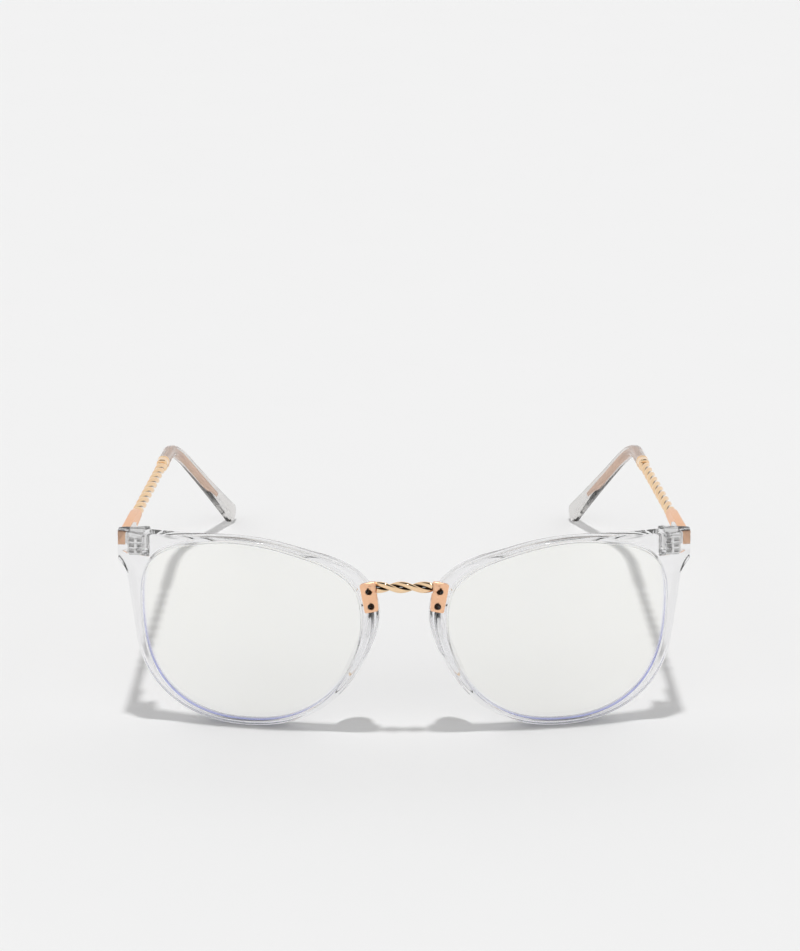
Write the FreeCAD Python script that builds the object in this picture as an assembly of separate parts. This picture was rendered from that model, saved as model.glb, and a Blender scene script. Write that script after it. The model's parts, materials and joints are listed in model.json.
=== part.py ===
import FreeCAD, Part
import math
import os
from FreeCAD import Placement, Rotation, Vector

# Spectacles with clear plastic rims, a twisted wire bridge and folding metal temples.
# +X is the wearer's left, -Y the way they look, +Z up. The front is modelled about the
# middle of the bridge; everything is moved to the middle of its own footprint at the end.
# Every left-hand piece is modelled, and the right-hand one is its mirror image, except
# the twisted wires, which are cut from one right-handed stock.

# ---- front ----
FRONT_WIDTH = 142.0            # over the endpieces
LENS_WIDTH = 54.9              # rim opening, boxed
LENS_HEIGHT = 47.6
LENS_GAP = 22.0                # between the two openings
FRONT_CURVE = 130.0            # radius of the sphere that each rim's face lies on
FACE_WRAP = 8.4                # degrees that each rim turns back towards the ear
RIM_DEPTH = 3.8
RIM_WIDTH = {
    "top": 1.2, "brow": 1.9, "shoulder": 3.3, "corner": 5.0, "temple": 4.5, "side": 3.1,
    "cheek": 2.45, "jaw": 2.0, "foot": 1.3, "sweep": 1.5, "nose": 2.6, "flank": 3.6,
    "seat": 4.3, "crest": 3.3, "rise": 2.4,
}
# The opening, as shares of its half width (outwards) and half height (up), with the
# name of the rim's width there.
OPENING = [
    (0.230, 0.998, "top"), (0.501, 0.954, "brow"), (0.736, 0.880, "shoulder"),
    (0.902, 0.743, "corner"), (0.975, 0.573, "temple"), (1.000, 0.296, "side"),
    (0.989, 0.010, "cheek"), (0.942, -0.304, "cheek"), (0.812, -0.623, "jaw"),
    (0.591, -0.855, "sweep"), (0.300, -0.978, "foot"), (0.013, -1.000, "foot"),
    (-0.277, -0.957, "foot"), (-0.541, -0.818, "sweep"), (-0.747, -0.602, "brow"),
    (-0.895, -0.317, "nose"), (-0.982, -0.014, "flank"), (-0.996, 0.296, "seat"),
    (-0.942, 0.532, "crest"), (-0.794, 0.710, "rise"), (-0.530, 0.851, "sweep"),
    (-0.277, 0.938, "foot"),
]
PAD_STATIONS = [(17, 0.9, 0.75), (16, 5.0, 1.45), (15, 4.6, 1.4), (14, 0.9, 0.75)]

LENS_THICKNESS = 1.8
LENS_SETBACK = 1.0             # rim face to lens face
GROOVE_DEPTH = 0.4

# ---- nose pads ----
PAD_LENGTH = 5.6               # front to back, of the ellipse at its middle
PAD_SPLAY = 24.0               # degrees that a pad leans away from the nose

# ---- endpiece, the block at each outer corner of the front ----
ENDPIECE_WIDTH = 8.0
ENDPIECE_RISE = 0.2            # its top above the top of the opening
ENDPIECE_HEIGHT = 6.3
ENDPIECE_DEPTH = 3.95          # rim's face to its flat back, at the outer side
ENDPIECE_ROUND = 1.1
ENDPIECE_FLARE = 6.5           # height of the curve from the rim's side to the endpiece

# ---- bridge ----
BRIDGE_RISE = 13.3             # wire axis above the lens centre
BRIDGE_SET = 1.0               # wire axis behind the bridge's face
FERRULE_INSET = 4.0            # ferrule's open end from the lens opening
WIRE_RADIUS = 0.71
WIRE_OFFSET = 0.73             # each wire's own axis from the twist's axis
TWIST_PITCH = 11.2
TWIST_CLEARANCE = 0.1          # around the twist, where it passes the plate's edge
PLATE_WIDTH = 3.85             # at its top
PLATE_FOOT = 3.25              # width at its bottom
PLATE_HEIGHT = 7.5
PLATE_THICKNESS = 0.8
PLATE_PROUD = 0.2              # of the rim's face
PLATE_DROP = 2.35              # plate's centre below the wire axis
PLATE_INSET = 2.22             # plate's centre from the lens opening
PLATE_TILT = 8.5               # degrees, top leaning away from the nose
PLATE_CORNER = 0.45
SEAT_DEPTH = 0.3               # shallow step in the rim around the plate
SEAT_MARGIN = 0.15
FERRULE_LENGTH = 1.7
PLATE_SCREW_SPACING = 3.9
PLATE_SCREW_DROP = 0.35        # the pair's middle below the plate's centre
PLATE_SCREW_RADIUS = 0.5
PLATE_SCREW_HEAD = 0.8
PLATE_SCREW_HEAD_DEPTH = 0.4
PLATE_SCREW_SUNK = 0.15
PLATE_SCREW_LENGTH = 3.0
COUNTERSINK = 0.3              # wider than the head, at the plate's face

# ---- hinge ----
HINGE_INSET = 6.5              # upright axis from the front's outer side
HINGE_BEHIND = 1.5             # axis behind the endpiece
HINGE_DROP = 3.7               # middle of the barrel below the endpiece's top
BARREL_RADIUS = 1.2
BARREL_HEIGHT = 4.8
MIDDLE_KNUCKLE = 2.0
KNUCKLE_GAP = 0.1
HINGE_SCREW_RADIUS = 0.5
HINGE_BORE_CLEARANCE = 0.05
HINGE_SCREW_HEAD = 0.95
HINGE_SCREW_HEAD_HEIGHT = 0.35
SCREW_SLOT = 0.25
ANCHOR_WIDTH = 3.8
ANCHOR_OFFSET = 0.1            # anchor's inner side beyond the hinge axis
ANCHOR_HEIGHT = 4.9
ANCHOR_PLATE = 1.1
ANCHOR_REACH = 3.3             # plate and ribs together, into the endpiece
ANCHOR_RIBS = 4
ANCHOR_RIB = 0.55
ANCHOR_WEB = 0.8

# ---- temple ----
TEMPLE_INSET = 1.23            # middle of the bar from the front's outer side
TEMPLE_DROP = 2.91             # middle of the bar's front end below the endpiece's top
TEMPLE_GAP = 0.15              # bar's upright front end behind the endpiece's back
TEMPLE_SLOPE = 7.2             # degrees down towards the ear
TEMPLE_CONVERGE = 1.9          # degrees inwards
BAR_THICKNESS = 2.1
BAR_HEIGHT = 3.5
BAR_LENGTH = 23.5
BAR_NECK = 3.5                 # length over which the bar turns round
TWIST_LENGTH = 55.0
TWIST_SOCKET = 1.2             # of the twist, inside the collar
COLLAR_LENGTH = 5.0
COLLAR_WIDTH = 3.3
COLLAR_HEIGHT = 3.7
COLLAR_STEP = 0.15             # the tip is this much smaller all round
LEAF_THICKNESS = 0.8
LEAF_LENGTH = 9.5
LEAF_HEIGHT = 2.9
LEAF_GAP = 0.2                 # between the hinge arm and the endpiece
LEAF_LEAN = 0.35               # more for the leaf, which leans with the slope
RIVET_RADIUS = 0.5
RIVET_HEAD = 0.85
RIVET_HEAD_HEIGHT = 0.3
RIVET_SPACING = 4.4
RIVET_DEPTH = 1.2              # into the bar

# ---- temple tip ----
EAR_POINT = 104.0              # bar's front end to the corner of the bend
EAR_RADIUS = 24.0
TIP_SLOPE = 46.2               # degrees below level
TIP_INWARD = 29.6              # degrees towards the head
TIP_THICKNESS = 3.0
TIP_MIDDLE_HEIGHT = 4.3
TIP_END_HEIGHT = 6.5
CORE_THICKNESS = 1.0
CORE_HEIGHT = 1.8
CORE_STOP = 13.5               # core's end to the tip's end
CORE_SOCKET = 2.0              # core inside the collar

X_AXIS, Y_AXIS, Z_AXIS = Vector(1, 0, 0), Vector(0, 1, 0), Vector(0, 0, 1)
FAR = 40.0                     # longer than any cut needs

HALF_W, HALF_H = LENS_WIDTH / 2, LENS_HEIGHT / 2
LENS_Z = HALF_H + RIM_WIDTH["foot"]
LENS_X = (LENS_GAP + LENS_WIDTH) / 2
LENS_Y = 0.42                  # brings the bridge side of the rims to the front plane
LENS_FRAME = Placement(Vector(LENS_X, LENS_Y, LENS_Z), Rotation(Z_AXIS, FACE_WRAP))
ENDPIECE_TOP = HALF_H + ENDPIECE_RISE


def face_y(u, v, depth=0.0):
    """How far behind the lens frame's origin the rim's face lies at (u, v)."""
    radius = FRONT_CURVE - depth
    return FRONT_CURVE - math.sqrt(radius ** 2 - u ** 2 - v ** 2)


ENDPIECE_REACH = FRONT_WIDTH / 2 - LENS_X
ENDPIECE_FACE = Vector(ENDPIECE_REACH, face_y(ENDPIECE_REACH, ENDPIECE_TOP - ENDPIECE_HEIGHT / 2), 0)
ENDPIECE_BACK = LENS_FRAME.multVec(ENDPIECE_FACE).y + ENDPIECE_DEPTH
BRIDGE_HEIGHT = LENS_Z + BRIDGE_RISE
BRIDGE_SPAN = LENS_GAP - 2 * FERRULE_INSET
HINGE_X = FRONT_WIDTH / 2 - HINGE_INSET
HINGE_Y = ENDPIECE_BACK + HINGE_BEHIND
HINGE_MIDDLE = LENS_Z + ENDPIECE_TOP - HINGE_DROP
TEMPLE_X = FRONT_WIDTH / 2 - TEMPLE_INSET
TEMPLE_Z = LENS_Z + ENDPIECE_TOP - TEMPLE_DROP


# ---- helpers ----

def box(low, high):
    """Block between two corners."""
    size = Vector(*high) - Vector(*low)
    return Part.makeBox(size.x, size.y, size.z, Vector(*low))


def placed(shape, placement):
    """Copy of a shape, moved from a local frame into the one that holds it."""
    copy = shape.copy()
    copy.Placement = placement.multiply(copy.Placement)
    return copy


def mirrored(shape):
    """The right-hand twin of a left-hand piece."""
    return shape.mirror(Vector(0, 0, 0), X_AXIS)


def ball(depth):
    """Sphere that the rim's face lies on, less a depth."""
    return Part.makeSphere(FRONT_CURVE - depth, Vector(0, FRONT_CURVE, 0))


def outline(grow):
    """Closed curve around the opening; grow is a distance, or None for the rim's outside."""
    points = [Vector(x * HALF_W, 0, z * HALF_H) for x, z, _ in OPENING]
    inner = Part.BSplineCurve()
    inner.interpolate(Points=points, PeriodicFlag=True)
    grown = []
    for point, (_, _, name) in zip(points, OPENING):
        along = Vector(*inner.tangent(inner.parameter(point))[0])
        away = Vector(-along.z, 0, along.x)
        width = RIM_WIDTH[name] if grow is None else grow
        grown.append(point + away * width)
    curve = Part.BSplineCurve()
    curve.interpolate(Points=grown, PeriodicFlag=True)
    return Part.Wire(curve.toShape())


def prism(wire, front=-6.0, back=FAR):
    """A flat outline carried from front to back."""
    face = Part.Face(wire)
    face.translate(Vector(0, front, 0))
    return face.extrude(Vector(0, back - front, 0))


def curved_plate(solid, front_depth, back_depth):
    """The part of a solid between two of the front's concentric spheres."""
    return solid.common(ball(front_depth)).cut(ball(back_depth))


def rounded(shape, radius, keep):
    """Round the edges that keep() picks."""
    return shape.makeFillet(radius, [edge for edge in shape.Edges if keep(edge)])


def rounded_rectangle(width, height, corner):
    """Wire in the XZ plane, about the origin."""
    w, h, c = width / 2, height / 2, corner
    k = c * (1 - math.sqrt(0.5))
    corners = [(1, 1), (-1, 1), (-1, -1), (1, -1)]
    edges = []
    last = None
    for sx, sz in corners:
        side = Vector(sx * w, 0, sz * (h - c))
        end = Vector(sx * (w - c), 0, sz * h)
        middle = Vector(sx * (w - k), 0, sz * (h - k))
        first, second = (side, end) if sx * sz > 0 else (end, side)
        if last is not None and (first - last).Length > 1e-6:
            edges.append(Part.LineSegment(last, first).toShape())
        edges.append(Part.Arc(first, middle, second).toShape())
        last = second
    start = edges[0].Vertexes[0].Point
    if (start - last).Length > 1e-6:
        edges.append(Part.LineSegment(last, start).toShape())
    return Part.Wire(edges)


def strand(length, phase):
    """One wire of a right-handed twist along +Y, from 0 to length."""
    spare = 1.5
    turns = (length + 2 * spare) / TWIST_PITCH
    helix = Part.makeHelix(TWIST_PITCH, turns * TWIST_PITCH, WIRE_OFFSET)
    lead = math.atan2(TWIST_PITCH, 2 * math.pi * WIRE_OFFSET)
    start = Vector(WIRE_OFFSET, 0, 0)
    along = Vector(0, math.cos(lead), math.sin(lead))
    section = Part.Wire(Part.Circle(start, along, WIRE_RADIUS).toShape())
    wire = Part.Wire(helix).makePipeShell([section], True, True)
    wire.rotate(Vector(0, 0, 0), Z_AXIS, phase)
    wire.translate(Vector(0, 0, -spare))
    slab = Part.makeCylinder(2 * (WIRE_OFFSET + WIRE_RADIUS), length)
    wire = wire.common(slab)
    wire.rotate(Vector(0, 0, 0), X_AXIS, -90)
    return wire


# ---- frames along the temple ----

TEMPLE_FRAME = Placement(
    Vector(TEMPLE_X, ENDPIECE_BACK, TEMPLE_Z),
    Rotation(Z_AXIS, TEMPLE_CONVERGE).multiply(Rotation(X_AXIS, -TEMPLE_SLOPE)),
)
TWIST_END = BAR_LENGTH + TWIST_LENGTH
COLLAR_END = TWIST_END + COLLAR_LENGTH


def ear_bend():
    """Bend start, centre, axis and angle, in the front's frame."""
    along = TEMPLE_FRAME.Rotation.multVec(Y_AXIS)
    slope, inward = math.radians(TIP_SLOPE), math.radians(TIP_INWARD)
    down = Vector(-math.sin(inward) * math.cos(slope), math.cos(inward) * math.cos(slope), -math.sin(slope))
    angle = along.getAngle(down)
    toward = (down - along * math.cos(angle)) * (1 / math.sin(angle))
    start = TEMPLE_FRAME.multVec(Vector(0, EAR_POINT - EAR_RADIUS * math.tan(angle / 2), 0))
    centre = start + toward * EAR_RADIUS
    axis = along.cross(down)
    axis.normalize()
    return start, centre, axis, math.degrees(angle)


BEND_START, BEND_CENTRE, BEND_AXIS, BEND_ANGLE = ear_bend()
BEND_RUN = (BEND_START - TEMPLE_FRAME.Base).Length
TURN = Rotation(BEND_AXIS, BEND_ANGLE)
TIP_FRAME = Placement(
    BEND_CENTRE + TURN.multVec(BEND_START - BEND_CENTRE),
    TURN.multiply(TEMPLE_FRAME.Rotation),
)
# The tip runs down until the round of its end touches the table.
TIP_RUN = (TIP_FRAME.Base.z - TIP_END_HEIGHT / 2) / math.sin(math.radians(TIP_SLOPE))


def along_temple(wire, start):
    """Straight, bend, then the face at the bend's end, for a section in the XZ plane."""
    first = wire.copy()
    first.translate(Vector(0, start, 0))
    straight = placed(Part.Face(first).extrude(Vector(0, BEND_RUN - start, 0)), TEMPLE_FRAME)
    at_bend = wire.copy()
    at_bend.translate(Vector(0, BEND_RUN, 0))
    bend = placed(Part.Face(at_bend), TEMPLE_FRAME).revolve(BEND_CENTRE, BEND_AXIS, BEND_ANGLE)
    return straight, bend


# ---- front pieces, left hand ----

def lens():
    blank = prism(outline(GROOVE_DEPTH))
    return placed(curved_plate(blank, LENS_SETBACK, LENS_SETBACK + LENS_THICKNESS), LENS_FRAME)


def endpiece_side():
    """The rim's upper outer corner, drawn out to the endpiece."""
    out = ENDPIECE_REACH * 1.1
    low = ENDPIECE_TOP - ENDPIECE_HEIGHT
    edge = HALF_W + RIM_WIDTH["side"]
    foot = Vector(edge + 0.45, 0, low - ENDPIECE_FLARE)
    bow = Vector(edge + 1.65, 0, low - 2.8)
    tip = Vector(ENDPIECE_REACH + 1.0, 0, low)
    top = Vector(out, 0, ENDPIECE_TOP)
    inner = Vector(HALF_W * 0.45, 0, ENDPIECE_TOP + 0.5)
    back = Vector(HALF_W * 0.9, 0, low - ENDPIECE_FLARE)
    flare = Part.BSplineCurve()
    flare.interpolate([foot, bow, tip])
    brow = Part.BSplineCurve()
    outer_brow = Vector(ENDPIECE_REACH * 0.85, 0, ENDPIECE_TOP + 0.1)
    inner_brow = Vector(HALF_W * 0.74, 0, ENDPIECE_TOP + 0.35)
    brow.interpolate([top, outer_brow, inner_brow, inner])
    edges = [flare.toShape(), Part.LineSegment(tip, Vector(out, 0, low)).toShape(),
             Part.LineSegment(Vector(out, 0, low), top).toShape(), brow.toShape(),
             Part.LineSegment(inner, back).toShape(), Part.LineSegment(back, foot).toShape()]
    return prism(Part.Wire(edges))


def plate_frame():
    """Where the bridge plate sits on the rim's face, in the lens frame."""
    u = -(HALF_W + PLATE_INSET)
    v = BRIDGE_HEIGHT - PLATE_DROP - LENS_Z
    turn = Rotation(Y_AXIS, PLATE_TILT)
    return Placement(Vector(u, 0, v), turn)


def screw_places():
    """The two plate screws: point on the rim's face in the lens frame."""
    frame = plate_frame()
    places = []
    for side in (1, -1):
        p = frame.multVec(Vector(0, 0, side * PLATE_SCREW_SPACING / 2 - PLATE_SCREW_DROP))
        places.append(Vector(p.x, face_y(p.x, p.z), p.z))
    return places


def drilled(radius, start, end):
    """Both screws' cylinders between two depths below the rim's face, in the lens frame."""
    rods = []
    for p in screw_places():
        rods.append(Part.makeCylinder(radius, end - start, p + Y_AXIS * start, Y_AXIS))
    return rods


def ferrule(radius):
    """Round end of the plate that the twist butts against, in the front's frame."""
    start = Vector(BRIDGE_SPAN / 2, BRIDGE_SET, BRIDGE_HEIGHT)
    return Part.makeCylinder(radius, FERRULE_LENGTH, start, X_AXIS)


def plate_blank():
    """Curved plate, cut back to clear the twist, with its ferrule."""
    top, foot, half = PLATE_WIDTH / 2, PLATE_FOOT / 2, PLATE_HEIGHT / 2
    corners = [Vector(top, 0, half), Vector(-top, 0, half), Vector(-foot, 0, -half), Vector(foot, 0, -half)]
    blank = prism(Part.makePolygon(corners + corners[:1]))
    blank = placed(rounded(blank, PLATE_CORNER, lambda edge: edge.BoundBox.YLength > 1), plate_frame())
    flat = placed(curved_plate(blank, -PLATE_PROUD, PLATE_THICKNESS - PLATE_PROUD), LENS_FRAME)
    radius = WIRE_OFFSET + WIRE_RADIUS
    middle = Vector(0, BRIDGE_SET, BRIDGE_HEIGHT)
    clear = Part.makeCylinder(radius + TWIST_CLEARANCE, BRIDGE_SPAN / 2, middle, X_AXIS)
    return flat.cut(clear).fuse(ferrule(radius)).removeSplitter()


def bridge_plate():
    plate = plate_blank()
    sunk = PLATE_SCREW_SUNK + PLATE_SCREW_HEAD_DEPTH - PLATE_PROUD
    for rod in drilled(PLATE_SCREW_HEAD, -2.0, sunk) + drilled(PLATE_SCREW_RADIUS, 0, FAR):
        plate = plate.cut(placed(rod, LENS_FRAME))
    for p in screw_places():
        wide = PLATE_SCREW_HEAD + COUNTERSINK
        cone = Part.makeCone(wide, PLATE_SCREW_HEAD, COUNTERSINK, p - Y_AXIS * PLATE_PROUD, Y_AXIS)
        plate = plate.cut(placed(cone, LENS_FRAME))
    return plate


def bridge_screws():
    """Two countersunk screws that clamp the plate to the rim."""
    top = PLATE_SCREW_SUNK - PLATE_PROUD
    sunk = top + PLATE_SCREW_HEAD_DEPTH
    heads = drilled(PLATE_SCREW_HEAD, top, sunk)
    shanks = drilled(PLATE_SCREW_RADIUS, sunk, sunk + PLATE_SCREW_LENGTH)
    screws = []
    for head, shank, p in zip(heads, shanks, screw_places()):
        slot = box((-2, top - 1, -SCREW_SLOT / 2), (2, top + PLATE_SCREW_HEAD_DEPTH / 2, SCREW_SLOT / 2))
        slot.rotate(Vector(0, 0, 0), Y_AXIS, 35)
        slot.translate(p)
        screws.append(placed(head.fuse(shank).cut(slot).removeSplitter(), LENS_FRAME))
    return Part.makeCompound(screws)


def endpiece_block():
    """Thicker part behind the rim's corner, with its flat back."""
    out = FRONT_WIDTH / 2
    top = LENS_Z + ENDPIECE_TOP
    low = (out - ENDPIECE_WIDTH, ENDPIECE_BACK - ENDPIECE_DEPTH + 0.5, top - ENDPIECE_HEIGHT)
    block = box(low, (out, ENDPIECE_BACK, top))

    def back_edge(edge):
        box_ = edge.BoundBox
        at_back = box_.YMin > ENDPIECE_BACK - 1e-3
        inner = box_.XMax < low[0] + 1e-3 or (box_.ZMax < low[2] + 1e-3 and box_.XLength < 1e-3)
        return at_back or inner and box_.YLength > 1 and box_.ZMax < low[2] + 1e-3
    return rounded(block, ENDPIECE_ROUND / 2, back_edge)


def rim_blank():
    """Ring and endpiece with rounded long edges, before anything is let into them."""
    ring = curved_plate(prism(outline(None)).fuse(endpiece_side()), 0, RIM_DEPTH)
    ring = placed(ring, LENS_FRAME)
    top = LENS_Z + ENDPIECE_TOP
    beyond = box((FRONT_WIDTH / 2, -FAR, -FAR), (FRONT_WIDTH, FAR, 2 * FAR))
    inner = FRONT_WIDTH / 2 - ENDPIECE_WIDTH
    over = box((inner, -FAR, top), (FRONT_WIDTH, FAR, 2 * FAR))
    behind = box((inner, ENDPIECE_BACK, 0), (FRONT_WIDTH, FAR, 2 * FAR))
    body = ring.fuse(endpiece_block()).cut(beyond).cut(over).cut(behind)
    body = body.cut(placed(prism(outline(0.0)), LENS_FRAME))
    return body.removeSplitter()


def plate_seat():
    """Step around the plate, in the rim's face."""
    wide = rounded_rectangle(PLATE_WIDTH + 4, PLATE_HEIGHT + 2 * SEAT_MARGIN, PLATE_CORNER)
    band = placed(prism(wide), plate_frame()).cut(ball(SEAT_DEPTH))
    return placed(band, LENS_FRAME)


def rim():
    body = rim_blank()
    body = body.cut(lens())
    body = body.cut(plate_seat())
    body = body.cut(plate_blank())
    for rod in drilled(PLATE_SCREW_RADIUS, 0, PLATE_SCREW_SUNK - PLATE_PROUD
                       + PLATE_SCREW_HEAD_DEPTH + PLATE_SCREW_LENGTH):
        body = body.cut(placed(rod, LENS_FRAME))
    body = body.cut(anchor())
    return body.removeSplitter()


def nose_pad():
    """Clear pad behind the rim's nose side: a loft of ellipses, trimmed to the rim's back."""
    splay = math.radians(PAD_SPLAY)
    reach_dir = Vector(math.sin(splay), math.cos(splay), 0)
    sections = []
    for index, reach, half in PAD_STATIONS:
        x, z, name = OPENING[index]
        u, v = x * HALF_W - RIM_WIDTH[name] * 0.5, z * HALF_H
        back = Vector(u, face_y(u, v, RIM_DEPTH), v)
        major = max(half * 1.05, reach * PAD_LENGTH / 10 + half * 0.4)
        centre = back + reach_dir * (reach - major)
        side = Vector(-reach_dir.y, reach_dir.x, 0)
        ellipse = Part.Ellipse(centre + reach_dir * major, centre + side * half, centre)
        sections.append(Part.Wire(ellipse.toShape()))
    pad = Part.makeLoft(sections, True, False).common(ball(RIM_DEPTH))
    pad = pad.cut(prism(outline(0.0)))
    return placed(pad, LENS_FRAME)


# ---- hinge, left hand ----

def barrel(low, high, radius):
    """Upright cylinder on the hinge axis."""
    return Part.makeCylinder(radius, high - low, Vector(HINGE_X, HINGE_Y, low))


BARREL_LOW = HINGE_MIDDLE - BARREL_HEIGHT / 2
BARREL_TOP = HINGE_MIDDLE + BARREL_HEIGHT / 2
MIDDLE_LOW = HINGE_MIDDLE - MIDDLE_KNUCKLE / 2
MIDDLE_TOP = HINGE_MIDDLE + MIDDLE_KNUCKLE / 2


def anchor():
    """Ribbed block moulded into the endpiece."""
    left = HINGE_X - ANCHOR_OFFSET
    low = HINGE_MIDDLE - ANCHOR_HEIGHT / 2
    high = HINGE_MIDDLE + ANCHOR_HEIGHT / 2
    front = ENDPIECE_BACK - ANCHOR_REACH
    body = box((left, ENDPIECE_BACK - ANCHOR_PLATE, low), (left + ANCHOR_WIDTH, ENDPIECE_BACK, high))
    middle = left + ANCHOR_WIDTH / 2
    web = box((middle - ANCHOR_WEB / 2, front, low), (middle + ANCHOR_WEB / 2, ENDPIECE_BACK, high))
    body = body.fuse(web)
    step = (ANCHOR_HEIGHT - ANCHOR_RIB) / (ANCHOR_RIBS - 1)
    for i in range(ANCHOR_RIBS):
        z = low + i * step
        rib = box((left + 0.2, front, z), (left + ANCHOR_WIDTH - 0.2, ENDPIECE_BACK, z + ANCHOR_RIB))
        body = body.fuse(rib)
    return body.removeSplitter()


def front_hinge():
    """Anchor with the upper and lower knuckles."""
    body = anchor()
    left = HINGE_X - ANCHOR_OFFSET
    for low, high in ((BARREL_LOW, MIDDLE_LOW - KNUCKLE_GAP), (MIDDLE_TOP + KNUCKLE_GAP, BARREL_TOP)):
        neck = box((left, ENDPIECE_BACK, low), (HINGE_X + BARREL_RADIUS * 0.9, HINGE_Y, high))
        body = body.fuse(barrel(low, high, BARREL_RADIUS)).fuse(neck)
    bore = barrel(BARREL_LOW - 1, BARREL_TOP + 1, HINGE_SCREW_RADIUS + HINGE_BORE_CLEARANCE)
    return body.cut(bore).removeSplitter()


def hinge_screw():
    shank = barrel(BARREL_LOW, BARREL_TOP, HINGE_SCREW_RADIUS)
    head = barrel(BARREL_TOP, BARREL_TOP + HINGE_SCREW_HEAD_HEIGHT, HINGE_SCREW_HEAD)
    x, y, top = HINGE_X, HINGE_Y, BARREL_TOP + HINGE_SCREW_HEAD_HEIGHT
    floor = top - HINGE_SCREW_HEAD_HEIGHT / 2
    slot = box((x - 2, y - SCREW_SLOT / 2, floor), (x + 2, y + SCREW_SLOT / 2, top + 1))
    return shank.fuse(head).cut(slot).removeSplitter()


def rivet_places():
    """Rivet centres on the leaf's inner face, in the temple's frame."""
    x = -BAR_THICKNESS / 2 - LEAF_THICKNESS
    middle = LEAF_GAP + LEAF_LENGTH / 2 + 0.6
    return [Vector(x, middle + side * RIVET_SPACING / 2, 0) for side in (-1, 1)]


def rivets(radius, head):
    """Both rivets along the temple frame's X, or just their shanks for the holes."""
    solids = []
    for p in rivet_places():
        body = Part.makeCylinder(radius, LEAF_THICKNESS + RIVET_DEPTH, p, X_AXIS)
        if head:
            cap = Part.makeCylinder(RIVET_HEAD, RIVET_HEAD_HEIGHT, p - X_AXIS * RIVET_HEAD_HEIGHT, X_AXIS)
            cap = rounded(cap, RIVET_HEAD_HEIGHT * 0.8, lambda edge: edge.BoundBox.XMax < p.x - 1e-3)
            body = body.fuse(cap).removeSplitter()
        solids.append(placed(body, TEMPLE_FRAME))
    return solids


def temple_hinge():
    """Middle knuckle, arm behind the endpiece, and the leaf on the bar's inner face."""
    front = ENDPIECE_BACK + LEAF_GAP
    inner = -BAR_THICKNESS / 2 - LEAF_THICKNESS
    start = LEAF_GAP + LEAF_LEAN
    leaf = box((inner, start, -LEAF_HEIGHT / 2), (-BAR_THICKNESS / 2, start + LEAF_LENGTH, LEAF_HEIGHT / 2))
    leaf = rounded(leaf, LEAF_HEIGHT * 0.3, lambda edge: edge.BoundBox.YMin > start + LEAF_LENGTH - 1e-3
                   and edge.BoundBox.XLength > 0.1)
    leaf = placed(leaf, TEMPLE_FRAME)
    reach = TEMPLE_X - BAR_THICKNESS / 2 - LEAF_THICKNESS / 2
    arm = box((HINGE_X, front, MIDDLE_LOW), (reach, HINGE_Y + BARREL_RADIUS * 0.6, MIDDLE_TOP))
    body = leaf.fuse(arm).fuse(barrel(MIDDLE_LOW, MIDDLE_TOP, BARREL_RADIUS))
    bore = barrel(MIDDLE_LOW - 1, MIDDLE_TOP + 1, HINGE_SCREW_RADIUS + HINGE_BORE_CLEARANCE)
    body = body.cut(bore)
    for rod in rivets(RIVET_RADIUS, False):
        body = body.cut(rod)
    return body.cut(temple_bar_blank()).removeSplitter()


# ---- temple, left hand ----

def temple_bar_blank():
    """Flat bar that turns round where the twist starts, cut upright at its front."""
    flat = BAR_LENGTH - BAR_NECK
    half_t, half_h = BAR_THICKNESS / 2, BAR_HEIGHT / 2
    bar = box((-half_t, -1.0, -half_h), (half_t, flat, half_h))
    bar = rounded(bar, 0.2, lambda edge: edge.BoundBox.YLength > 1)
    over = 2 * (WIRE_OFFSET + WIRE_RADIUS)
    first = rounded_rectangle(BAR_THICKNESS, BAR_HEIGHT, 0.2)
    first.translate(Vector(0, flat, 0))
    last = rounded_rectangle(over, over, over * 0.45)
    last.translate(Vector(0, BAR_LENGTH, 0))
    neck = Part.makeLoft([first, last], True, True)
    whole = placed(bar.fuse(neck).removeSplitter(), TEMPLE_FRAME)
    ahead = box((0, 0, 0), (2 * FRONT_WIDTH, ENDPIECE_BACK + TEMPLE_GAP, 2 * LENS_HEIGHT))
    return whole.cut(ahead)


def temple_bar():
    bar = temple_bar_blank()
    for rod in rivets(RIVET_RADIUS, False):
        bar = bar.cut(rod)
    return bar


def temple_twist(phase, frame):
    """One wire of the temple's twist, in a given temple frame."""
    wire = strand(TWIST_LENGTH + TWIST_SOCKET, phase)
    wire.translate(Vector(0, BAR_LENGTH, 0))
    return placed(wire, frame)


def core_wire():
    return rounded_rectangle(CORE_THICKNESS, CORE_HEIGHT, 0.3)


def temple_core():
    """Flat metal blade from the collar down inside the plastic tip."""
    straight, bend = along_temple(core_wire(), COLLAR_END - CORE_SOCKET)
    run = TIP_RUN + TIP_END_HEIGHT / 2 - CORE_STOP
    tail = placed(Part.Face(core_wire()).extrude(Vector(0, run, 0)), TIP_FRAME)
    return straight.fuse(bend).fuse(tail).removeSplitter()


def collar():
    wire = rounded_rectangle(COLLAR_WIDTH, COLLAR_HEIGHT, 1.2)
    wire.translate(Vector(0, TWIST_END, 0))
    body = Part.Face(wire).extrude(Vector(0, COLLAR_LENGTH, 0))
    body = rounded(body, 0.25, lambda edge: edge.BoundBox.YLength < 0.01)
    socket_r = WIRE_OFFSET + WIRE_RADIUS + 0.02
    socket = Part.makeCylinder(socket_r, TWIST_SOCKET + 0.05, Vector(0, TWIST_END, 0), Y_AXIS)
    slot = core_wire()
    slot.translate(Vector(0, COLLAR_END - CORE_SOCKET, 0))
    slot = Part.Face(slot).extrude(Vector(0, FAR, 0))
    return placed(body.cut(socket).cut(slot), TEMPLE_FRAME)


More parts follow.
